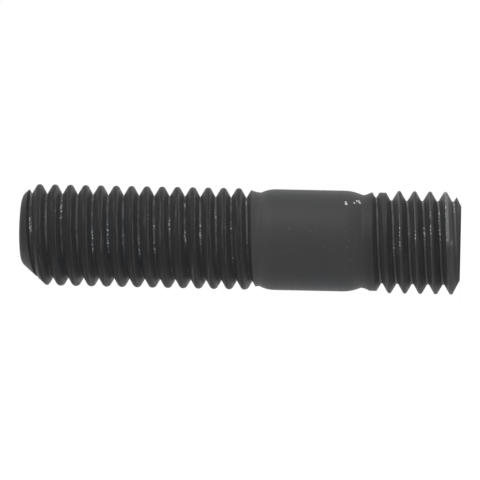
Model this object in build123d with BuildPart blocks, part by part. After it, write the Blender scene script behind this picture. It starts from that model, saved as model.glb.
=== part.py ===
"""Double ended stud, M10 x 1.5, one piece of turned and thread-rolled steel.

Frame: millimetres, +Z along the stud from the metal end, which seats in a tapped
hole, at z = 0 to the nut end, with the origin at the centre of the metal end's face.
"""

import os
from math import atan2, ceil, cos, degrees, hypot, radians, tan

from build123d import *

# ---------------------------------------------------------------- driving sizes
overall_length = 42.8

# thread form, right-hand at both ends
thread_pitch = 1.5
thread_depth = 0.625 * thread_pitch
flank_angle = 30.0  # half of the 60 degree form

# metal end, the short thread
metal_end_diameter = 10.0
metal_end_length = 8.75  # end face to where the blank of the thread stops
metal_face_diameter = 7.2
metal_chamfer_length = 0.7
metal_run_out = 0.43  # the groove leaves the metal this far below the neck, on the -X side
metal_short_crest = 0.2  # how much the unfilled crests beside the shank fall short
metal_short_crest_length = 1.6
metal_root_width = thread_pitch / 8
metal_run_out_turns = 0.7

# plain shank
shank_diameter = 9.84
shank_length = 6.65
metal_taper_length = 1.93  # shank down to the neck beside the metal end
metal_neck_depth = 0.45
nut_taper_length = 1.5  # shank down to the neck beside the nut end
nut_neck_depth = 0.39
neck_rise_length = 0.75  # neck up to the blank of either thread

# nut end, the long thread
nut_end_diameter = 9.9
nut_run_out = 0.12  # the groove leaves the metal this far below the neck, on the +X side
nut_root_width = 0.0  # a sharp root
nut_run_out_turns = 0.5
nut_short_crest = 0.23
nut_short_crest_length = 0.55
nut_face_diameter = 6.6
nut_chamfer_angle = 41.0  # from the axis
nut_chamfer_centre = (0.55, -0.6)  # off centre, so the chamfer is deepest on the -X +Y side

# cutting
cutter_overrun = 0.1  # how far a groove's cutter stands out of the crest
longest_sweep = 4.0  # turns cut in one pass
stock_allowance = 3.0  # bar beyond each end, faced off after threading

# ---------------------------------------------------------------- worked out
metal_radius = metal_end_diameter / 2
nut_radius = nut_end_diameter / 2
shank_radius = shank_diameter / 2
flank_slope = tan(radians(flank_angle))

metal_neck = (shank_radius - metal_neck_depth, metal_end_length + neck_rise_length)
shank_start = metal_neck[1] + metal_taper_length
shank_end = shank_start + shank_length
nut_neck = (shank_radius - nut_neck_depth, shank_end + nut_taper_length)
nut_blank_start = nut_neck[1] + neck_rise_length


def cut_groove(run_out, crest_radius, root_width, run_out_turns, length):
    """Cut a thread's right-hand groove, from where it leaves the metal to past the end.

    The groove starts in the run_out frame, on its +X side, and winds along its +Z for
    at least the length. It reaches its full depth after the run-out's turns.
    """
    root_radius = crest_radius - thread_depth
    full_turns = ceil(length / thread_pitch)
    count = ceil(full_turns / longest_sweep)
    stages = [(run_out_turns, crest_radius, root_radius)]
    stages += [(full_turns / count, root_radius, root_radius)] * count
    height = 0
    angle = 0
    for turns, root_start, root_end in stages:
        rise = turns * thread_pitch
        cone = degrees(atan2(root_end - root_start, rise))
        with BuildLine(mode=Mode.PRIVATE) as helix:
            Helix(
                pitch=thread_pitch / cos(radians(cone)),
                height=rise,
                radius=root_start,
                center=(0, 0, height),
                cone_angle=cone,
            )
        path = helix.line.rotate(Axis.Z, angle)
        reach = crest_radius + cutter_overrun - min(root_start, root_end)
        axial_plane = Plane(
            origin=path @ 0,
            x_dir=Vector(1, 0, 0).rotate(Axis.Z, angle),
            z_dir=Vector(0, 1, 0).rotate(Axis.Z, angle),
        )
        with BuildSketch(axial_plane) as groove_form:
            with BuildLine():
                root = [(0, root_width / 2), (0, -root_width / 2)] if root_width else [(0, 0)]
                Polyline(
                    *root,
                    (reach, -root_width / 2 - reach * flank_slope),
                    (reach, root_width / 2 + reach * flank_slope),
                    close=True,
                )
            make_face()
        cutter = sweep(groove_form.sketch, path=path, is_frenet=True, mode=Mode.PRIVATE)
        add(run_out * cutter, mode=Mode.SUBTRACT)
        height += rise
        angle += 360 * turns


with BuildPart() as stud:
    # the turned bar: two thread blanks, and the shank between its necks
    with BuildSketch(Plane.XZ) as bar_section:
        with BuildLine():
            Polyline(
                nut_neck,
                (nut_radius - nut_short_crest, nut_blank_start),
                (nut_radius, nut_blank_start + nut_short_crest_length),
                (nut_radius, overall_length + stock_allowance),
                (0, overall_length + stock_allowance),
                (0, -stock_allowance),
                (metal_radius, -stock_allowance),
                (metal_radius, metal_end_length - metal_short_crest_length - metal_short_crest),
                (metal_radius - metal_short_crest, metal_end_length - metal_short_crest_length),
                (metal_radius - metal_short_crest, metal_end_length),
                metal_neck,
            )
            TangentArc((shank_radius, shank_start), metal_neck, tangent=(0, -1))
            Line((shank_radius, shank_start), (shank_radius, shank_end))
            TangentArc((shank_radius, shank_end), nut_neck, tangent=(0, 1))
        make_face()
    revolve(axis=Axis.Z)

    # each thread, from its run-out at the neck to past the end face
    cut_groove(
        Location((0, 0, metal_neck[1] - metal_run_out), (0, 180, 0)),
        metal_radius,
        metal_root_width,
        metal_run_out_turns,
        metal_neck[1],
    )
    cut_groove(
        Location((0, 0, nut_neck[1] - nut_run_out)),
        nut_radius,
        nut_root_width,
        nut_run_out_turns,
        overall_length - nut_neck[1],
    )

    # metal end faced and chamfered
    with BuildSketch(Plane.XZ) as metal_end_waste:
        with BuildLine():
            waste_radius = metal_radius + cutter_overrun
            chamfer_slope = metal_chamfer_length / (metal_radius - metal_face_diameter / 2)
            Polyline(
                (0, 0),
                (metal_face_diameter / 2, 0),
                (waste_radius, (waste_radius - metal_face_diameter / 2) * chamfer_slope),
                (waste_radius, -stock_allowance - cutter_overrun),
                (0, -stock_allowance - cutter_overrun),
                close=True,
            )
        make_face()
    revolve(axis=Axis.Z, mode=Mode.SUBTRACT)

    # nut end faced and chamfered, off centre
    chamfer_origin = (*nut_chamfer_centre, 0)
    with BuildSketch(Plane(chamfer_origin, x_dir=(1, 0, 0), z_dir=(0, -1, 0))) as nut_end_waste:
        with BuildLine():
            waste_radius = nut_radius + hypot(*nut_chamfer_centre) + cutter_overrun
            chamfer_drop = (waste_radius - nut_face_diameter / 2) / tan(radians(nut_chamfer_angle))
            waste_top = overall_length + stock_allowance + cutter_overrun
            Polyline(
                (0, overall_length),
                (nut_face_diameter / 2, overall_length),
                (waste_radius, overall_length - chamfer_drop),
                (waste_radius, waste_top),
                (0, waste_top),
                close=True,
            )
        make_face()
    revolve(axis=Axis(chamfer_origin, (0, 0, 1)), mode=Mode.SUBTRACT)

stud.part.label = "stud"
os.makedirs("parts", exist_ok=True)
export_step(stud.part, "parts/stud.step")
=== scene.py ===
"""Double ended stud, M10 x 1.5, in black oxide steel.

The metal end's thread is at the bottom, the plain shank above it, and the nut end's
long thread runs to the top. Everything is in metres.
"""

import math

import bpy
from mathutils import Matrix, Vector


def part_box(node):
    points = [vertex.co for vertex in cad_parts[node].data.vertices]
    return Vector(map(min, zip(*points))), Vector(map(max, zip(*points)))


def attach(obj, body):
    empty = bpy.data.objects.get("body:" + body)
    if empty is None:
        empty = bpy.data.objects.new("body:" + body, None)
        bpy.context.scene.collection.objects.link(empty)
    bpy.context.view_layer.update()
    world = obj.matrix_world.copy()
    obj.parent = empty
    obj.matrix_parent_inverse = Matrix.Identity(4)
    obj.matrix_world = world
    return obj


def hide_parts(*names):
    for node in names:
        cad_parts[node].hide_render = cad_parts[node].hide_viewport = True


bl_info = {
    "name": "Double Ended Stud",
    "version": (1, 0, 0),
    "blender": (4, 5, 0),
    "location": "View3D > Sidebar > Stud",
    "description": "Makes a double ended stud with rolled threads and a black oxide finish",
    "category": "Object",
}

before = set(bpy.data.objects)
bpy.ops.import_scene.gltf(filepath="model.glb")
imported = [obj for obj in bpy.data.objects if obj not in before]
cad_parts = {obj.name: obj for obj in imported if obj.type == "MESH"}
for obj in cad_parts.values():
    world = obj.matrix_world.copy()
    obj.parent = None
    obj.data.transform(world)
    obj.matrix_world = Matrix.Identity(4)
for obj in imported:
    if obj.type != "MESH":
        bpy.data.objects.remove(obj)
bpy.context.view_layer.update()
overall_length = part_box("stud")[1].z


# ---------------------------------------------------------------- sizes and finish
class StudSizes(bpy.types.PropertyGroup):
    """Sizes of the stud that a user would change."""

    pitch: bpy.props.FloatProperty(
        name="Thread pitch",
        description="Distance from one crest to the next, the same at both ends",
        default=0.0015,
        precision=5,
        unit="LENGTH",
    )
    thread_depth: bpy.props.FloatProperty(
        name="Thread depth",
        description="How far the root lies below the crest",
        default=0.0009375,
        precision=5,
        unit="LENGTH",
    )
    metal_root_width: bpy.props.FloatProperty(
        name="Metal end root width",
        description="Width of the short thread's groove at its bottom",
        default=0.0001875,
        precision=5,
        unit="LENGTH",
    )
    metal_crest_rounding: bpy.props.FloatProperty(
        name="Metal end crest rounding",
        description="How far the rounding reaches on the short thread's crests",
        default=0.0001,
        precision=6,
        unit="LENGTH",
    )
    nut_crest_rounding: bpy.props.FloatProperty(
        name="Nut end crest rounding",
        description="How far the rounding reaches on the long thread's crests",
        default=0.00018,
        precision=6,
        unit="LENGTH",
    )
    metal_end_diameter: bpy.props.FloatProperty(
        name="Metal end diameter",
        description="Over the crests of the short thread",
        default=0.01,
        precision=5,
        unit="LENGTH",
    )
    metal_end_length: bpy.props.FloatProperty(
        name="Metal end length",
        description="Length of the short thread, from its end face to its neck",
        default=0.00875,
        precision=5,
        unit="LENGTH",
    )
    nut_end_diameter: bpy.props.FloatProperty(
        name="Nut end diameter",
        description="Over the crests of the long thread",
        default=0.0099,
        precision=5,
        unit="LENGTH",
    )
    shank_diameter: bpy.props.FloatProperty(
        name="Shank diameter",
        description="Diameter of the plain shank between the threads",
        default=0.00984,
        precision=5,
        unit="LENGTH",
    )
    shank_length: bpy.props.FloatProperty(
        name="Shank length",
        description="Length of the straight part of the shank",
        default=0.00665,
        precision=5,
        unit="LENGTH",
    )


class StudFinish(bpy.types.PropertyGroup):
    """Colours and gloss of the black oxide, with the colours of its painted shade, light, highlights and
    glints.
    """

    oxide: bpy.props.FloatVectorProperty(
        name="Black oxide",
        description="Colour of the oxidised steel",
        subtype="COLOR",
        size=3,
        min=0.0,
        max=1.0,
        default=(0.038, 0.038, 0.038),
    )
    blued: bpy.props.FloatVectorProperty(
        name="Blued oxide",
        description="Colour of the patches with a cooler cast",
        subtype="COLOR",
        size=3,
        min=0.0,
        max=1.0,
        default=(0.034, 0.036, 0.039),
    )
    # painted shade: a darker colour for the crests, the neck by the metal end and the nut end, which
    # catch more light than the rest
    painted_shade: bpy.props.FloatVectorProperty(
        name="Painted shade",
        description="Colour of the crests, the neck by the metal end, and the nut end",
        subtype="COLOR",
        size=3,
        min=0.0,
        max=1.0,
        default=(0.014, 0.014, 0.015),
    )
    # painted highlight: the colour of the thin light lines along the threads and of the last crest by the
    # metal end; the scuff there has it too
    painted_highlight: bpy.props.FloatVectorProperty(
        name="Painted highlight line",
        description="Colour of the painted highlight lines, and of the scuff by the metal end",
        subtype="COLOR",
        size=3,
        min=0.0,
        max=1.0,
        default=(0.20, 0.20, 0.20),
    )
    # wear and painted light: the colour of the worn streaks and specks, and also of the painted light on
    # the nut end's shoulder, the metal end's chamfer and the first turn
    wear_and_painted_light: bpy.props.FloatVectorProperty(
        name="Wear and painted light",
        description="Colour of worn streaks and specks, and of painted light",
        subtype="COLOR",
        size=3,
        min=0.0,
        max=1.0,
        default=(0.10, 0.10, 0.10),
    )
    # also the colour of the painted glints along the thread's lines
    bright: bpy.props.FloatVectorProperty(
        name="Bare steel",
        description="Colour of the small chips that show bare steel",
        subtype="COLOR",
        size=3,
        min=0.0,
        max=1.0,
        default=(0.62, 0.62, 0.60),
    )
    gloss_roughness: bpy.props.FloatProperty(
        name="Roughness",
        description="Mean roughness of the satin surface",
        default=0.5,
        min=0.0,
        max=1.0,
        subtype="FACTOR",
    )


# ---------------------------------------------------------------- the stud's form
# Lengths are in metres, and what is above or below is so along the standing stud.
FLANK_SLOPE = math.tan(math.radians(30))  # half of the thread's 60 degree form

METAL_CHAMFER = (0.0036, 0.0007)  # radius of the face inside it, and its length
METAL_SHORT_CREST = 0.0002  # how much lower the crests beside the shank are
METAL_SHORT_CREST_LENGTH = 0.0016
METAL_RUN_OUT = 0.00043  # the groove leaves the metal this far below the neck, at -X
METAL_RUN_OUT_TURNS = 0.7
METAL_NECK_DEPTH = 0.00045
METAL_TAPER = 0.00193  # from the neck up to the straight shank

NECK_RISE = 0.00075  # from a neck to the blank of its thread
NECK_ROUNDING = 0.0004

NUT_NECK_DEPTH = 0.00039
NUT_TAPER = 0.0015  # from the straight shank up to the neck
NUT_RUN_OUT = 0.00012  # the groove leaves the metal this far below the neck, at +X
NUT_RUN_OUT_TURNS = 0.5
NUT_SHORT_CREST = 0.00023
NUT_SHORT_CREST_LENGTH = 0.00055
NUT_ROOT_ROUNDING = 0.00003
NUT_FACE_RADIUS = 0.0033
NUT_CHAMFER_SLOPE = math.tan(math.radians(41))
NUT_CHAMFER_CENTRE = (0.00055, -0.0006)  # off the axis, so the chamfer is deepest at -X +Y
NUT_EDGE_ROUNDING = 0.0004

# how finely the pieces are made
ROUND_STEPS = 96  # in one turn round the axis
ARC_STEPS = 8
CREST_SEGMENTS = 4
ROOT_SEGMENTS = 2
NECK_SEGMENTS = 6
EDGE_SEGMENTS = 4
SMOOTH_ANGLE = math.radians(25)

# allowances that are cut away again
PROUD = 0.00002  # how far the bar stands out of the crests, so that the rods trim it
BAR_OVERRUN = 0.001  # of the bar past the nut end
METAL_ROD_OVERRUN = 0.001  # of the short thread, past the end face and past the neck
NUT_ROD_START = 0.0007  # of the long thread, above the straight shank
NUT_ROD_OVERRUN = 0.0015  # of the long thread, past the nut end
STRETCH_OVERRUN = 0.003  # of a rod's plain end, past the stud's other end
STRETCH_SPREAD = 1.2
FORM_OVERRUN = 0.002  # of the chamfer's form, below the metal end
FORM_MARGIN = 0.001  # of the chamfer's form, round the thread

GROOVE_START = 0.02  # depth of the groove where it leaves the metal, as a share
MOUTH_ALLOWANCE = 0.01  # of a pitch, for points on the very edge of the groove
CORNER_ALLOWANCE = 0.1  # of a rounding's reach, for the point that is that corner
SQUARE = 0.99  # least share of a normal along the axis, for a face square to it
CLOSE = 1e-6  # how near two points or heights are taken as one
CLOSEST = 1e-7  # the same, where a piece is spun or cut


# ---------------------------------------------------------------- modelling helpers
def deselect_all():
    """Leave edit mode, with nothing selected."""
    if bpy.context.object and bpy.context.object.mode != "OBJECT":
        bpy.ops.object.mode_set(mode="OBJECT")
    bpy.ops.object.select_all(action="DESELECT")


def work_on(piece):
    """Make the piece the only one selected, and the active one."""
    deselect_all()
    piece.select_set(True)
    bpy.context.view_layer.objects.active = piece


def draw_outline(name, points):
    """A line through the points, each (radius, height), in the plane through the axis."""
    deselect_all()
    # the plane's size is of no account, as it is merged to one point
    bpy.ops.mesh.primitive_plane_add(size=0.001, location=(0, 0, 0))
    outline = bpy.context.object
    outline.name = name
    bpy.ops.object.mode_set(mode="EDIT")
    bpy.ops.mesh.select_mode(type="VERT")
    bpy.ops.mesh.select_all(action="SELECT")
    bpy.ops.mesh.merge(type="CENTER")
    bpy.ops.transform.translate(value=(points[0][0], 0, points[0][1]))
    for here, there in zip(points, points[1:]):
        step = (there[0] - here[0], 0, there[1] - here[1])
        bpy.ops.mesh.extrude_region_move(TRANSFORM_OT_translate={"value": step})
    bpy.ops.object.mode_set(mode="OBJECT")
    return outline


def round_corners(outline, corners, reach, segments):
    """Round the outline's corners at the given (radius, height) points."""
    work_on(outline)
    bpy.ops.object.mode_set(mode="EDIT")
    bpy.ops.mesh.select_mode(type="VERT")
    bpy.ops.mesh.select_all(action="DESELECT")
    bpy.ops.object.mode_set(mode="OBJECT")
    spots = [Vector((radius, 0, height)) for radius, height in corners]
    for point in outline.data.vertices:
        point.select = any((point.co - spot).length < reach * CORNER_ALLOWANCE for spot in spots)
    bpy.ops.object.mode_set(mode="EDIT")
    bpy.ops.mesh.bevel(offset=reach, segments=segments, affect="VERTICES", profile=0.5)
    bpy.ops.object.mode_set(mode="OBJECT")


def turn(outline, rise=0.0, turns=1):
    """Spin the outline round the axis, climbing by rise in each turn."""
    work_on(outline)
    screw = outline.modifiers.new("Turn", "SCREW")
    screw.axis = "Z"
    screw.angle = math.tau
    screw.screw_offset = rise
    screw.iterations = turns
    screw.steps = screw.render_steps = ROUND_STEPS
    screw.use_merge_vertices = True
    screw.merge_threshold = CLOSEST
    bpy.ops.object.modifier_apply(modifier=screw.name)
    bpy.ops.object.mode_set(mode="EDIT")
    bpy.ops.mesh.select_all(action="SELECT")
    bpy.ops.mesh.remove_doubles(threshold=CLOSE)
    bpy.ops.mesh.normals_make_consistent(inside=False)
    bpy.ops.object.mode_set(mode="OBJECT")


def cut_off(piece, height, above):
    """Cut away what is above or below a height, and close the cut with a flat face."""
    work_on(piece)
    bpy.ops.object.mode_set(mode="EDIT")
    bpy.ops.mesh.select_all(action="SELECT")
    bpy.ops.mesh.bisect(
        plane_co=(0, 0, height),
        plane_no=(0, 0, 1),
        use_fill=True,
        clear_outer=above,
        clear_inner=not above,
        threshold=CLOSEST,
    )
    bpy.ops.object.mode_set(mode="OBJECT")


def stretch_end(piece, height, to_height):
    """Widen the flat end at a height, and draw it out to another height."""
    work_on(piece)
    bpy.ops.object.mode_set(mode="EDIT")
    bpy.ops.mesh.select_all(action="DESELECT")
    bpy.ops.object.mode_set(mode="OBJECT")
    for face in piece.data.polygons:
        face.select = abs(face.center.z - height) < CLOSE and abs(face.normal.z) > SQUARE
    bpy.ops.object.mode_set(mode="EDIT")
    bpy.ops.mesh.select_mode(type="FACE")
    bpy.ops.mesh.extrude_region_move()
    spread = (STRETCH_SPREAD, STRETCH_SPREAD, 1)
    bpy.ops.transform.resize(value=spread, center_override=(0, 0, height))
    bpy.ops.mesh.extrude_region_move(TRANSFORM_OT_translate={"value": (0, 0, to_height - height)})
    bpy.ops.object.mode_set(mode="OBJECT")


def keep_common(piece, other):
    """Keep only what the piece and the other share, and remove the other."""
    work_on(piece)
    common = piece.modifiers.new("Common", "BOOLEAN")
    common.operation = "INTERSECT"
    common.solver = "EXACT"
    common.material_mode = "TRANSFER"
    common.object = other
    bpy.ops.object.modifier_apply(modifier=common.name)
    bpy.data.objects.remove(other)


def arc(start, end):
    """Points between start and end, on the arc that leaves start along the axis."""
    rise, drop = end[1] - start[1], start[0] - end[0]
    radius = (rise * rise + drop * drop) / (2 * drop)
    swing = math.asin(abs(rise) / radius)
    points = []
    for step in range(1, ARC_STEPS):
        part = swing * step / ARC_STEPS
        inward = radius * (1 - math.cos(part))
        onward = math.copysign(radius * math.sin(part), rise)
        points.append((start[0] - inward, start[1] + onward))
    return points


# ---------------------------------------------------------------- the stud's pieces
def threaded_rod(name, sizes, crest, root_width, rounding, first_root, bottom, top, depths):
    """A rod with a right-hand thread, from bottom to top.

    The groove passes the +X side at first_root. depths lists (turns above first_root,
    share of the full depth), and the groove grows deep or shallow evenly between them.
    """
    pitch, depth = sizes.pitch, sizes.thread_depth
    half_root = root_width / 2
    half_mouth = half_root + depth * FLANK_SLOPE
    below = math.ceil((first_root - bottom) / pitch) + 2
    start = first_root - below * pitch
    turns = math.ceil((top - start) / pitch) + 2
    root = crest - depth

    mouth_corners = [(crest, start - half_mouth), (crest, start + half_mouth)]
    if root_width:
        root_corners = [(root, start - half_root), (root, start + half_root)]
        root_rounding = root_width / 4
    else:
        root_corners = [(root, start)]
        root_rounding = NUT_ROOT_ROUNDING
    rod = draw_outline(
        name,
        [
            (crest, start - pitch / 2),
            mouth_corners[0],
            *root_corners,
            mouth_corners[1],
            (crest, start + pitch / 2),
        ],
    )
    round_corners(rod, mouth_corners, rounding, CREST_SEGMENTS)
    round_corners(rod, root_corners, root_rounding, ROOT_SEGMENTS)
    turn(rod, rise=pitch, turns=turns)
    run_groove_out(rod, crest, pitch, half_mouth, first_root, depths)
    cut_off(rod, bottom, above=False)
    cut_off(rod, top, above=True)
    return rod


def run_groove_out(rod, crest, pitch, half_mouth, first_root, depths):
    """Draw the groove's points towards the crest, and together, where it is shallow."""
    for point in rod.data.vertices:
        radius = math.hypot(point.co.x, point.co.y)
        swing = math.atan2(point.co.y, point.co.x) / math.tau % 1.0
        along = round((point.co.z - first_root) / pitch - swing)
        centre = first_root + (along + swing) * pitch
        if abs(point.co.z - centre) > half_mouth + pitch * MOUTH_ALLOWANCE:
            continue
        share = depth_share(depths, along + swing)
        if share == 1.0:
            continue
        radius_kept = (crest - (crest - radius) * share) / radius
        point.co.x *= radius_kept
        point.co.y *= radius_kept
        point.co.z = centre + (point.co.z - centre) * share


def depth_share(depths, turns):
    """How deep the groove is, as a share of its full depth, this many turns along."""
    if turns <= depths[0][0]:
        return depths[0][1]
    for (start, start_share), (end, end_share) in zip(depths, depths[1:]):
        if turns <= end:
            return start_share + (end_share - start_share) * (turns - start) / (end - start)
    return depths[-1][1]


def turned_bar(sizes):
    """The stud before threading: two blanks, and the shank between its necks."""
    metal = sizes.metal_end_diameter / 2 + PROUD
    metal_short = sizes.metal_end_diameter / 2 - METAL_SHORT_CREST
    metal_short_start = sizes.metal_end_length - METAL_SHORT_CREST_LENGTH
    metal_slope = METAL_CHAMFER[1] / (sizes.metal_end_diameter / 2 - METAL_CHAMFER[0])

    shank = sizes.shank_diameter / 2
    metal_neck = (shank - METAL_NECK_DEPTH, sizes.metal_end_length + NECK_RISE)
    shank_start = (shank, metal_neck[1] + METAL_TAPER)
    shank_end = (shank, shank_start[1] + sizes.shank_length)
    nut_neck = (shank - NUT_NECK_DEPTH, shank_end[1] + NUT_TAPER)

    nut = sizes.nut_end_diameter / 2 + PROUD
    nut_short = sizes.nut_end_diameter / 2 - NUT_SHORT_CREST
    nut_blank_start = nut_neck[1] + NECK_RISE
    nut_rise = NUT_SHORT_CREST_LENGTH * (nut - nut_short) / NUT_SHORT_CREST
    bar = draw_outline(
        "stud_body",
        [
            (0, 0),
            (METAL_CHAMFER[0], 0),
            (metal, (metal - METAL_CHAMFER[0]) * metal_slope),
            (metal, metal_short_start - (metal - metal_short)),
            (metal_short, metal_short_start),
            (metal_short, sizes.metal_end_length),
            metal_neck,
            *reversed(arc(shank_start, metal_neck)),
            shank_start,
            shank_end,
            *arc(shank_end, nut_neck),
            nut_neck,
            (nut_short, nut_blank_start),
            (nut, nut_blank_start + nut_rise),
            (nut, overall_length + BAR_OVERRUN),
            (0, overall_length + BAR_OVERRUN),
        ],
    )
    round_corners(bar, [metal_neck, nut_neck], NECK_ROUNDING, NECK_SEGMENTS)
    turn(bar)
    return bar


def chamfer_form(sizes):
    """The cone that the nut end is chamfered to, a little off the stud's centre."""
    wide = sizes.nut_end_diameter / 2 + math.hypot(*NUT_CHAMFER_CENTRE) + FORM_MARGIN
    drop = (wide - NUT_FACE_RADIUS) / NUT_CHAMFER_SLOPE
    face_edge = (NUT_FACE_RADIUS, overall_length)
    form = draw_outline(
        "nut_end_chamfer",
        [
            (0, -FORM_OVERRUN),
            (wide, -FORM_OVERRUN),
            (wide, overall_length - drop),
            face_edge,
            (0, overall_length),
        ],
    )
    round_corners(form, [face_edge], NUT_EDGE_ROUNDING, EDGE_SEGMENTS)
    turn(form)
    form.location = (*NUT_CHAMFER_CENTRE, 0)
    bpy.ops.object.transform_apply(location=True)
    return form


# ---------------------------------------------------------------- the finish's places and scales
# Heights above the metal end's face between which the finish changes, and where the painted light, shade
# and highlights begin and end.
ABOVE_FACE = (0.0, 0.00005)
CHAMFER_PAINTED_LIGHT = (0.0009, 0.0006)
FIRST_TURN_HIGHLIGHT = (0.0015, 0.0009)
LAST_CREST_HIGHLIGHT = (0.0024, 0.0018)
NECK_PAINTED_SHADE = (0.0100, 0.0086)
SHOULDER_PAINTED_LIGHT = (0.0176, 0.0192)
NUT_END_PAINTED_SHADE = (0.0390, 0.0398)

# Distances towards +X between which the finish changes; +X faces the softbox, and the painted highlights
# are stronger there.
LINES_LIT_SIDE = (-0.0028, 0.0006)
LAST_CREST_LIT_SIDE = (-0.0004, 0.0006)
SPECKED_SIDE = (0.0043, 0.0049)

# Two chips on the shoulder beside the metal end: the place and reach of each part of them.
SHOULDER_CHIPS = (
    ((0.00362, -0.00335, 0.01113), 0.00028),
    ((0.00376, -0.00315, 0.01118), 0.00020),
    ((0.00370, -0.00300, 0.01035), 0.00020),
    ((0.00390, -0.00265, 0.01010), 0.00020),
    ((0.00390, -0.00255, 0.00995), 0.00026),
    ((0.00375, -0.00270, 0.00982), 0.00027),
)
END_SCUFF = (0.0, -0.0046, 0.0008)
END_SCUFF_REACH = (0.0005, 0.0002)

# Where the painted highlight lines run across a thread, in pitches from its root.
ROOT_LINE_AT = 0.015
ROOT_LINE_WIDTH = 0.1
CREST_LINE_WIDTH = 0.05
LINE_WOBBLE = 0.05
LINE_CORE = 0.25  # share of a line's width that shows in full

STREAKS_ROUND = 330  # scale of the streaks as they go round, in a metre
STREAKS_ACROSS = 9.0  # and across the thread, in a pitch
GLINT_CELLS = 4400.0  # in a metre, each with one painted glint at most
SKIN_HEIGHT = 0.00001


# ---------------------------------------------------------------- node helpers
def node(tree, kind, label, at, **settings):
    """A node with its label, its place in the node editor, and its settings."""
    made = tree.nodes.new(kind)
    made.label = label
    made.location = at
    for name, value in settings.items():
        setattr(made, name, value)
    return made


def fade(tree, label, at, source, over, into=(0.0, 1.0)):
    """A smooth change between the two values of into, as the source goes along over."""
    made = node(tree, "ShaderNodeMapRange", label, at, interpolation_type="SMOOTHSTEP")
    for name, value in zip(("From Min", "From Max", "To Min", "To Max"), (*over, *into)):
        made.inputs[name].default_value = value
    tree.links.new(source, made.inputs["Value"])
    return made.outputs["Result"]


def noise(tree, label, at, source, scale, detail=2.0, roughness=0.5):
    """Noise over the source's coordinates."""
    made = node(tree, "ShaderNodeTexNoise", label, at)
    made.inputs["Scale"].default_value = scale
    made.inputs["Detail"].default_value = detail
    made.inputs["Roughness"].default_value = roughness
    tree.links.new(source, made.inputs["Vector"])
    return made.outputs["Fac"]


def combine(tree, label, at, operation, *sources):
    """A Math node over sockets and plain numbers."""
    made = node(tree, "ShaderNodeMath", label, at, operation=operation)
    for place, source in enumerate(sources):
        if isinstance(source, (int, float)):
            made.inputs[place].default_value = source
        else:
            tree.links.new(source, made.inputs[place])
    return made.outputs["Value"]


def blend_colour(tree, label, at, amount, under, over):
    """One colour over another, by the amount. A colour is a socket or three numbers."""
    made = node(tree, "ShaderNodeMix", label, at, data_type="RGBA")
    tree.links.new(amount, made.inputs["Factor"])
    for name, colour in (("A", under), ("B", over)):
        if isinstance(colour, bpy.types.NodeSocket):
            tree.links.new(colour, made.inputs[name])
        else:
            made.inputs[name].default_value = (*colour, 1)
    return made.outputs["Result"]


def near_spot(tree, label, at, place, spot, over):
    """1 near a spot on the stud and 0 past it. over gives the distances of 0 and of 1."""
    away = node(tree, "ShaderNodeVectorMath", label + ", distance", at, operation="DISTANCE")
    away.inputs[1].default_value = spot
    tree.links.new(place, away.inputs[0])
    return fade(tree, label, (at[0] + 250, at[1]), away.outputs["Value"], over)


# ---------------------------------------------------------------- black oxide, with painted light and shade
def oxide_base(name, finish, sheen):
    """A black oxide material with its slow change of tone, and the places to build on."""
    material = bpy.data.materials.new(name)
    material.use_nodes = True
    tree = material.node_tree
    tree.nodes.clear()
    output = node(tree, "ShaderNodeOutputMaterial", "Output", (1900, 0))
    steel = node(tree, "ShaderNodeBsdfPrincipled", "Oxidised steel", (1600, 0))
    steel.inputs["IOR"].default_value = sheen
    tree.links.new(steel.outputs["BSDF"], output.inputs["Surface"])
    place = node(tree, "ShaderNodeTexCoord", "Place on the stud", (-1500, 0)).outputs["Object"]
    split = node(tree, "ShaderNodeSeparateXYZ", "Height on the stud", (-1250, -150))
    tree.links.new(place, split.inputs["Vector"])
    patches = noise(tree, "Oxide patches", (-1250, 400), place, scale=150.0, detail=1.5)
    blued = fade(tree, "Blued places", (-1000, 400), patches, over=(0.45, 0.7))
    tone = blend_colour(tree, "Oxide tone", (-750, 400), blued, finish.oxide, finish.blued)
    return material, tree, steel, place, split.outputs, tone


def skin(tree, steel, height, strength):
    """A shallow bump, of a few micrometres."""
    bump = node(tree, "ShaderNodeBump", "Skin of the oxide", (1300, -500))
    bump.inputs["Strength"].default_value = strength
    bump.inputs["Distance"].default_value = SKIN_HEIGHT
    tree.links.new(height, bump.inputs["Height"])
    tree.links.new(bump.outputs["Normal"], steel.inputs["Normal"])


def across_groove(tree, along, first_root, pitch):
    """Where a point lies across the thread: 0 in the root, -0.5 and 0.5 on the crests."""
    swing = combine(tree, "Angle round the axis", (-1000, -200), "ARCTAN2", along["Y"], along["X"])
    turns = combine(tree, "Turns round", (-800, -200), "MULTIPLY", swing, 1 / math.tau)
    root = 0.5 - first_root / pitch
    rise = combine(tree, "Turns up", (-1000, -50), "MULTIPLY_ADD", along["Z"], 1 / pitch, root)
    climb = combine(tree, "Across the thread", (-600, -100), "SUBTRACT", rise, turns)
    part = combine(tree, "Part of a turn", (-400, -100), "FRACT", climb)
    return combine(tree, "From the root", (-200, -100), "SUBTRACT", part, 0.5)


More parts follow.
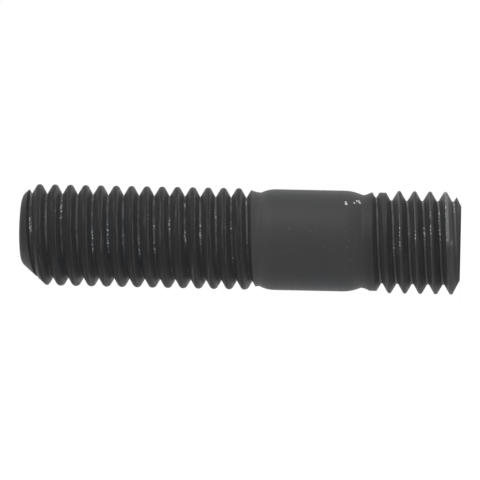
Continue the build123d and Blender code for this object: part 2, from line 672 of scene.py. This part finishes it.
def rolling_streaks(tree, place, across):
    """Streaks along the thread: they change slowly as they go round, and quickly across it."""
    slow = node(tree, "ShaderNodeVectorMath", "Slow round it", (-400, -400), operation="MULTIPLY")
    slow.inputs[1].default_value = (STREAKS_ROUND, STREAKS_ROUND, STREAKS_ROUND)
    tree.links.new(place, slow.inputs[0])
    quick = combine(tree, "Quick across it", (-400, -600), "MULTIPLY", across, STREAKS_ACROSS)
    streaks = node(tree, "ShaderNodeTexNoise", "Streaks", (-200, -400), noise_dimensions="4D")
    streaks.inputs["Scale"].default_value = 1.0
    streaks.inputs["Detail"].default_value = 3.0
    streaks.inputs["Roughness"].default_value = 0.6
    tree.links.new(slow.outputs["Vector"], streaks.inputs["Vector"])
    tree.links.new(quick, streaks.inputs["W"])
    return streaks.outputs["Fac"]


def highlight_line(tree, label, at, across, painted_highlight, middle, half_width, amount):
    """A painted highlight line along the thread, shown up to the amount where the highlight is full."""
    away = combine(tree, label + ", away", at, "SUBTRACT", across, middle)
    size = combine(tree, label + ", distance", (at[0] + 180, at[1]), "ABSOLUTE", away)
    edges = (half_width, half_width * LINE_CORE)
    line = fade(tree, label, (at[0] + 360, at[1]), size, edges)
    line = combine(tree, label + ", rubbed", (at[0] + 600, at[1]), "MULTIPLY", line, painted_highlight)
    return combine(tree, label + ", shown", (at[0] + 800, at[1]), "MULTIPLY", line, amount)


def clustered_glints(tree, place, lines):
    """Painted glints: small bright specks in clusters on the painted highlight lines, in the colour of
    bare steel.
    """
    cells = node(tree, "ShaderNodeTexVoronoi", "Glint cells", (600, -1200))
    cells.inputs["Scale"].default_value = GLINT_CELLS
    tree.links.new(place, cells.inputs["Vector"])
    dots = fade(tree, "Glint size", (800, -1200), cells.outputs["Distance"], over=(0.5, 0.24))
    clusters = noise(tree, "Clusters", (600, -1500), place, scale=300.0, roughness=0.6)
    clustered = fade(tree, "Inside a cluster", (800, -1500), clusters, over=(0.47, 0.6))
    kept = combine(tree, "Glints in a cluster", (1000, -1400), "MULTIPLY", dots, clustered)
    kept = combine(tree, "Glints on the lines", (1200, -1200), "MULTIPLY", kept, lines)
    return fade(tree, "Glints shown", (1350, -1200), kept, over=(0.1, 0.4))


def end_highlight_and_scuff(tree, place, along, size, breaks):
    """The last turn before the metal end's face: a painted highlight on its crest on one side, and a
    scuff.
    """
    crest = fade(tree, "Last crest", (-200, 700), size, over=(0.36, 0.46))
    near = fade(tree, "By the end", (-200, 900), along["Z"], LAST_CREST_HIGHLIGHT, into=(0.0, 0.7))
    side = fade(tree, "One side", (-200, 1100), along["X"], LAST_CREST_LIT_SIDE)
    crest = combine(tree, "Last crest there", (0, 800), "MULTIPLY", crest, near)
    crest = combine(tree, "Last crest highlight, lit side", (200, 800), "MULTIPLY", crest, side)
    scuff = near_spot(tree, "Near the scuff", (-200, 1300), place, END_SCUFF, END_SCUFF_REACH)
    scuff = combine(tree, "Ragged scuff", (250, 1300), "MULTIPLY", scuff, breaks)
    scuff = fade(tree, "Scuff", (450, 1300), scuff, over=(0.3, 0.55), into=(0.0, 0.8))
    return combine(tree, "Highlight and scuff by the end", (650, 1000), "MAXIMUM", crest, scuff)


def rolled_oxide(name, finish, first_root, pitch, sheen, wear, root_line, crest_line, crest_line_at):
    """A thread's flanks, roots and crests: painted shade on the crests, painted highlight lines along
    them and on the first turn, streaks, and painted glints.

    sheen is the index of refraction and wear the least amount of wear in the streaks.
    root_line and crest_line are how far the two painted highlight lines show, and
    crest_line_at is where the second one runs, in pitches from the root.
    """
    material, tree, steel, place, along, tone = oxide_base(name, finish, sheen)
    across = across_groove(tree, along, first_root, pitch)
    size = combine(tree, "From the root either way", (0, -250), "ABSOLUTE", across)
    streak = rolling_streaks(tree, place, across)

    # the painted highlight lines are stronger on the lit side of the stud, and broken along the way
    side = fade(tree, "Lit side", (-800, -700), along["X"], LINES_LIT_SIDE, into=(0.3, 1.0))
    breaks = noise(tree, "Breaks", (-800, -900), place, scale=480.0, detail=5.0, roughness=0.7)
    broken = fade(tree, "Unbroken", (-600, -900), breaks, over=(0.36, 0.56), into=(0.35, 1.0))
    painted_highlight = combine(tree, "Highlight strength", (-400, -800), "MULTIPLY", side, broken)
    wobble = combine(tree, "Wobble", (-400, -1000), "MULTIPLY_ADD", breaks, LINE_WOBBLE, -LINE_WOBBLE / 2)
    uneven = combine(tree, "Uneven across", (-200, -900), "ADD", across, wobble)
    root = highlight_line(
        tree, "Root line", (0, -700), uneven, painted_highlight, ROOT_LINE_AT, ROOT_LINE_WIDTH, root_line
    )
    edge = highlight_line(
        tree, "Crest line", (0, -900), uneven, painted_highlight, crest_line_at, CREST_LINE_WIDTH, crest_line
    )
    lines = combine(tree, "Either line", (1000, -900), "MAXIMUM", root, edge)

    # painted shade: the crests face the light more than the shaded flanks, so they are darkened towards
    # the painted shade colour
    crest = fade(tree, "Crest", (200, -250), size, over=(0.2, 0.42))
    light = fade(tree, "Light streaks", (0, -400), streak, over=(0.52, 0.74), into=(wear, 0.5))
    # painted highlight: the first turn by the metal end's face is lightened, unevenly and more on the lit
    # side
    first = fade(tree, "Painted highlight, first turn", (-200, 300), along["Z"], FIRST_TURN_HIGHLIGHT, into=(0.0, 0.7))
    uneven_highlight = combine(tree, "Uneven highlight", (-200, 150), "MULTIPLY_ADD", painted_highlight, 0.5, 0.5)
    first = combine(tree, "Painted highlight, first turn, uneven", (0, 300), "MULTIPLY", first, uneven_highlight)
    light = combine(tree, "Streaks and painted highlight", (200, 300), "MAXIMUM", light, first)
    end = end_highlight_and_scuff(tree, place, along, size, breaks)
    # painted glints: small bright specks on the painted highlight lines, in the colour of bare steel
    chips = clustered_glints(tree, place, lines)
    colour = blend_colour(tree, "Painted shade on crests", (400, 400), crest, tone, finish.painted_shade)
    colour = blend_colour(tree, "Streaked", (600, 400), light, colour, finish.wear_and_painted_light)
    # painted highlights: thin light lines at the roots and beside the crests
    colour = blend_colour(tree, "Root lines", (800, 400), root, colour, finish.painted_highlight)
    colour = blend_colour(tree, "Crest lines", (1000, 400), edge, colour, finish.painted_highlight)
    # the painted highlight on the last crest, and a scuff of real wear, both in the painted highlight
    # colour
    colour = blend_colour(tree, "Highlight and scuff, end", (1100, 600), end, colour, finish.painted_highlight)
    colour = blend_colour(tree, "Chipped", (1200, 400), chips, colour, finish.bright)
    tree.links.new(colour, steel.inputs["Base Color"])

    rough = finish.gloss_roughness
    gloss = fade(tree, "Gloss variation", (1200, 0), streak, (0.3, 0.7), (rough + 0.08, rough - 0.06))
    smoother = combine(tree, "Smoother lines", (1400, -100), "MULTIPLY_ADD", lines, -0.12, gloss)
    tree.links.new(smoother, steel.inputs["Roughness"])
    skin(tree, steel, streak, strength=0.3)
    return material


def chamfer_painted_light(tree, place, along):
    """Painted light on the metal end's chamfer, which faces the shadowed floor, in ragged patches, but
    not on the face inside it.
    """
    rim = fade(tree, "Metal end's chamfer", (-700, 1000), along["Z"], CHAMFER_PAINTED_LIGHT, into=(0.0, 0.55))
    above_face = fade(tree, "Above its face", (-700, 1200), along["Z"], ABOVE_FACE)
    rim = combine(tree, "Chamfer alone", (-500, 1100), "MULTIPLY", rim, above_face)
    ragged_patches = noise(tree, "Ragged places", (-700, 1400), place, scale=900.0, detail=3.0, roughness=0.6)
    ragged_patches = fade(tree, "Ragged", (-500, 1400), ragged_patches, over=(0.35, 0.6), into=(0.5, 1.0))
    return combine(tree, "Chamfer painted light, ragged", (-300, 1100), "MULTIPLY", rim, ragged_patches)


def light_specks(tree, place, along, grain):
    """A few light specks all over, and many along one side."""
    specks = noise(tree, "Specks", (-750, 0), place, scale=2600.0)
    few = fade(tree, "Few specks", (-500, 0), specks, over=(0.70, 0.75), into=(0.0, 0.5))
    side = fade(tree, "Along one side", (-500, -150), along["X"], SPECKED_SIDE)
    many = fade(tree, "Many specks", (-500, -300), grain, over=(0.54, 0.64), into=(0.0, 0.4))
    many = combine(tree, "Many specks there", (-300, -250), "MULTIPLY", many, side)
    return combine(tree, "All specks", (-100, 0), "MAXIMUM", few, many)


def shoulder_chips(tree, place):
    """The two chips on the shoulder, with ragged edges."""
    chips = None
    for number, (spot, reach) in enumerate(SHOULDER_CHIPS):
        row = -900 - 200 * number
        near = near_spot(tree, "Near a chip", (-750, row), place, spot, (reach, reach * 0.3))
        if chips:
            near = combine(tree, "Near any chip", (-250, row), "MAXIMUM", chips, near)
        chips = near
    ragged = noise(tree, "Ragged chip", (-250, -500), place, scale=7000.0, roughness=0.6)
    chips = combine(tree, "Chip", (0, -500), "MULTIPLY", chips, ragged)
    return fade(tree, "Chip's edge", (200, -500), chips, over=(0.34, 0.46))


def turning_marks(tree, place, along):
    """Rings round the axis, on the faces and the shank."""
    flat = node(tree, "ShaderNodeVectorMath", "Across the axis", (-750, 700), operation="MULTIPLY")
    flat.inputs[1].default_value = (1, 1, 0)
    tree.links.new(place, flat.inputs[0])
    radius = node(tree, "ShaderNodeVectorMath", "From the axis", (-550, 700), operation="LENGTH")
    tree.links.new(flat.outputs["Vector"], radius.inputs[0])
    ring_place = node(tree, "ShaderNodeCombineXYZ", "Across the rings", (-350, 700))
    tree.links.new(radius.outputs["Value"], ring_place.inputs["X"])
    tree.links.new(along["Z"], ring_place.inputs["Z"])
    return noise(tree, "Turning marks", (-150, 700), ring_place.outputs["Vector"], scale=9000.0)


def turned_oxide(finish):
    """The shank, necks, chamfers and end faces: smooth and even, with a few chips, painted shade by the
    metal end's neck and at the nut end, and painted light on the nut end's shoulder and the metal end's
    chamfer.
    """
    material, tree, steel, place, along, tone = oxide_base("turned_steel", finish, sheen=1.34)
    # painted shade: below the neck by the metal end, and towards the nut end, the colour is darkened
    # towards the painted shade colour
    neck = fade(tree, "Below the neck", (-1000, -600), along["Z"], NECK_PAINTED_SHADE, into=(0.0, 0.65))
    end = fade(tree, "Towards the nut end", (-1000, -800), along["Z"], NUT_END_PAINTED_SHADE)
    painted_shade_amount = combine(tree, "Painted shade amount", (-800, -700), "MAXIMUM", neck, end)
    # painted light: the shoulder by the nut end's neck is lightened, but not the nut end itself
    light = fade(tree, "Painted light on the shoulder", (-700, 150), along["Z"], SHOULDER_PAINTED_LIGHT, into=(0.0, 0.06))
    light = combine(tree, "Not at the nut end", (-500, 150), "SUBTRACT", light, end)
    light = combine(tree, "Never below 0", (-350, 150), "MAXIMUM", light, 0.0)
    # painted light on the metal end's chamfer
    rim = chamfer_painted_light(tree, place, along)
    grain = noise(tree, "Fine grain", (-750, -300), place, scale=5200.0, detail=4.0, roughness=0.6)
    specks = light_specks(tree, place, along, grain)
    chips = shoulder_chips(tree, place)
    colour = blend_colour(tree, "Painted shade, neck and end", (-500, 300), painted_shade_amount, tone, finish.painted_shade)
    colour = blend_colour(tree, "Painted light, shoulder", (-200, 300), light, colour, finish.wear_and_painted_light)
    colour = blend_colour(tree, "Painted light on the chamfer", (-100, 500), rim, colour, finish.wear_and_painted_light)
    colour = blend_colour(tree, "Specked", (100, 300), specks, colour, finish.wear_and_painted_light)
    colour = blend_colour(tree, "Chipped", (500, 300), chips, colour, finish.bright)
    tree.links.new(colour, steel.inputs["Base Color"])

    rings = turning_marks(tree, place, along)
    both = combine(tree, "Grain and rings", (50, 700), "MULTIPLY_ADD", rings, 0.5, grain)
    rough = finish.gloss_roughness
    gloss = fade(tree, "Gloss variation", (250, -200), both, (0.5, 1.0), (rough - 0.06, rough + 0.06))
    tree.links.new(gloss, steel.inputs["Roughness"])
    skin(tree, steel, both, strength=0.15)
    return material


# ---------------------------------------------------------------- the stage
WHITE = (1, 1, 1, 1)
FLOOR_SIZE = 4.0
FLOOR_WHITE = (0.92, 0.92, 0.92, 1)
FLOOR_LIFT = 0.36  # added where the floor is seen, to make it white
SOFT_LIGHT = 0.7
SOFTBOX_PLACE = (0.45, -0.30, 0.12)
SOFTBOX_SIZE = 0.5
SOFTBOX_POWER = 1.6
CAMERA_STAND = (0, -0.390, 0.0010)
CAMERA_AIM = (-0.00011, 0, 0.0001)  # from the middle of the stud
CAMERA_ROLL = math.radians(-1.2)
CAMERA_LENS = 300.0


def seen_or_mirrored(tree):
    """1 where a place is seen directly, in a gloss or through glass, and 0 elsewhere."""
    ray = node(tree, "ShaderNodeLightPath", "Kind of ray", (-600, 200)).outputs
    kinds = (ray["Is Camera Ray"], ray["Is Glossy Ray"])
    seen = combine(tree, "Seen or mirrored", (-400, 200), "MAXIMUM", *kinds)
    glass = ray["Is Transmission Ray"]
    return combine(tree, "Or through glass", (-200, 200), "MAXIMUM", seen, glass)


def background(tree, label, at, strength):
    """An even white all round, of the given strength."""
    made = node(tree, "ShaderNodeBackground", label, at)
    made.inputs["Color"].default_value = WHITE
    made.inputs["Strength"].default_value = strength
    return made.outputs["Background"]


def white_studio():
    """A world that looks white, and lights the stud softly."""
    world = bpy.data.worlds.new("white_studio")
    world.use_nodes = True
    tree = world.node_tree
    tree.nodes.clear()
    out = node(tree, "ShaderNodeOutputWorld", "Output", (600, 0))
    mix = node(tree, "ShaderNodeMixShader", "White or soft", (400, 0))
    tree.links.new(seen_or_mirrored(tree), mix.inputs["Fac"])
    tree.links.new(background(tree, "Soft light", (200, -100), SOFT_LIGHT), mix.inputs[1])
    tree.links.new(background(tree, "White beyond", (200, 100), 1.0), mix.inputs[2])
    tree.links.new(mix.outputs["Shader"], out.inputs["Surface"])
    return world


def floor_paint():
    """White paint that shows the stud's shadow, and that the camera sees as white."""
    material = bpy.data.materials.new("floor_paint")
    material.use_nodes = True
    tree = material.node_tree
    tree.nodes.clear()
    out = node(tree, "ShaderNodeOutputMaterial", "Output", (600, 0))
    paint = node(tree, "ShaderNodeBsdfDiffuse", "Matt white", (0, 100))
    paint.inputs["Color"].default_value = FLOOR_WHITE
    lift = node(tree, "ShaderNodeEmission", "White to the camera", (0, -100))
    lift.inputs["Color"].default_value = WHITE
    seen = seen_or_mirrored(tree)
    strength = combine(tree, "Lift", (-200, -100), "MULTIPLY", seen, FLOOR_LIFT)
    tree.links.new(strength, lift.inputs["Strength"])
    both = node(tree, "ShaderNodeAddShader", "Paint and lift", (300, 0))
    tree.links.new(paint.outputs["BSDF"], both.inputs[0])
    tree.links.new(lift.outputs["Emission"], both.inputs[1])
    tree.links.new(both.outputs["Shader"], out.inputs["Surface"])
    return material


def add_softbox():
    """A square lamp that faces the middle of the stud."""
    deselect_all()
    bpy.ops.object.light_add(type="AREA", location=SOFTBOX_PLACE)
    lamp = bpy.context.object
    lamp.name = "top_softbox"
    lamp.data.size = SOFTBOX_SIZE
    lamp.data.energy = SOFTBOX_POWER
    aim = Vector((0, 0, overall_length / 2)) - Vector(SOFTBOX_PLACE)
    lamp.rotation_euler = aim.to_track_quat("-Z", "Y").to_euler()


def aim_camera(scene):
    """A long lens just above the floor, turned on its side so that the stud lies across."""
    middle = Vector((CAMERA_AIM[0], CAMERA_AIM[1], overall_length / 2 + CAMERA_AIM[2]))
    stand = Vector(CAMERA_STAND)
    forward = (middle - stand).normalized()
    up = Vector((1, 0, 0))
    up = (up - forward * up.dot(forward)).normalized()
    up = Matrix.Rotation(CAMERA_ROLL, 3, forward) @ up
    right = forward.cross(up)
    bpy.ops.object.camera_add(location=stand)
    camera = bpy.context.object
    camera.name = "camera"
    camera.rotation_euler = Matrix((right, up, -forward)).transposed().to_euler()
    camera.data.sensor_width = 36
    camera.data.lens = CAMERA_LENS
    camera.data.clip_start = 0.01
    camera.data.clip_end = 20
    scene.camera = camera


# ---------------------------------------------------------------- operators
class STUD_OT_stud(bpy.types.Operator):
    """Make the stud: a turned bar, a thread at each end, and a chamfer at each face"""

    bl_idname = "stud.make_stud"
    bl_label = "Stud"

    def execute(self, context):
        sizes, finish = context.scene.stud_sizes, context.scene.stud_finish
        metal_neck = sizes.metal_end_length + NECK_RISE
        metal_root = metal_neck - METAL_RUN_OUT - sizes.pitch / 2
        metal_rod_top = metal_neck + METAL_ROD_OVERRUN
        metal_rod = threaded_rod(
            "metal_end_rod",
            sizes,
            crest=sizes.metal_end_diameter / 2,
            root_width=sizes.metal_root_width,
            rounding=sizes.metal_crest_rounding,
            first_root=metal_root,
            bottom=-METAL_ROD_OVERRUN,
            top=metal_rod_top,
            depths=[(0.5 - METAL_RUN_OUT_TURNS, 1.0), (0.5, GROOVE_START)],
        )
        stretch_end(metal_rod, metal_rod_top, overall_length + STRETCH_OVERRUN)

        shank_end = metal_neck + METAL_TAPER + sizes.shank_length
        nut_root = shank_end + NUT_TAPER - NUT_RUN_OUT
        nut_rod_bottom = shank_end + NUT_ROD_START
        nut_rod = threaded_rod(
            "nut_end_rod",
            sizes,
            crest=sizes.nut_end_diameter / 2,
            root_width=0,
            rounding=sizes.nut_crest_rounding,
            first_root=nut_root,
            bottom=nut_rod_bottom,
            top=overall_length + NUT_ROD_OVERRUN,
            depths=[(0.0, GROOVE_START), (NUT_RUN_OUT_TURNS, 1.0)],
        )
        stretch_end(nut_rod, nut_rod_bottom, -STRETCH_OVERRUN)

        stud = turned_bar(sizes)
        form = chamfer_form(sizes)
        turned = turned_oxide(finish)
        stud.data.materials.append(turned)
        form.data.materials.append(turned)
        short_thread = rolled_oxide(
            "short_thread",
            finish,
            metal_root,
            sizes.pitch,
            sheen=1.35,
            wear=0.08,
            root_line=0.32,
            crest_line=0.5,
            crest_line_at=-0.4,
        )
        metal_rod.data.materials.append(short_thread)
        long_thread = rolled_oxide(
            "long_thread",
            finish,
            nut_root,
            sizes.pitch,
            sheen=1.29,
            wear=0.0,
            root_line=0.75,
            crest_line=0.2,
            crest_line_at=0.36,
        )
        nut_rod.data.materials.append(long_thread)
        for other in (metal_rod, nut_rod, form):
            keep_common(stud, other)
        work_on(stud)
        bpy.ops.object.shade_smooth_by_angle(angle=SMOOTH_ANGLE)
        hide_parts("stud")
        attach(stud, "root")
        return {"FINISHED"}


class STUD_OT_stage(bpy.types.Operator):
    """Make the white world, the pale floor, the soft lamp and the camera"""

    bl_idname = "stud.make_stage"
    bl_label = "Stage"

    def execute(self, context):
        scene = context.scene
        scene.view_settings.view_transform = "Standard"
        scene.world = white_studio()

        deselect_all()
        bpy.ops.mesh.primitive_plane_add(size=FLOOR_SIZE, location=(0, 0, 0))
        floor = context.object
        floor.name = "pale_floor"
        floor.data.materials.append(floor_paint())

        add_softbox()
        aim_camera(scene)
        return {"FINISHED"}


class STUD_PT_panel(bpy.types.Panel):
    """The stud's sizes, finish and pieces"""

    bl_idname = "STUD_PT_panel"
    bl_label = "Double Ended Stud"
    bl_space_type = "VIEW_3D"
    bl_region_type = "UI"
    bl_category = "Stud"

    def draw(self, context):
        layout = self.layout
        for group in (context.scene.stud_sizes, context.scene.stud_finish):
            box = layout.box()
            for name in group.bl_rna.properties.keys():
                if name not in ("rna_type", "name"):
                    box.prop(group, name)
        layout.operator(STUD_OT_stud.bl_idname)
        layout.operator(STUD_OT_stage.bl_idname)


CLASSES = (StudSizes, StudFinish, STUD_OT_stud, STUD_OT_stage, STUD_PT_panel)


def register():
    for cls in CLASSES:
        bpy.utils.register_class(cls)
    bpy.types.Scene.stud_sizes = bpy.props.PointerProperty(type=StudSizes)
    bpy.types.Scene.stud_finish = bpy.props.PointerProperty(type=StudFinish)


def unregister():
    del bpy.types.Scene.stud_finish
    del bpy.types.Scene.stud_sizes
    for cls in reversed(CLASSES):
        bpy.utils.unregister_class(cls)


def main():
    """Make the stud and its stage."""
    register()
    bpy.ops.stud.make_stud()
    bpy.ops.stud.make_stage()


if __name__ == "__main__":
    main()
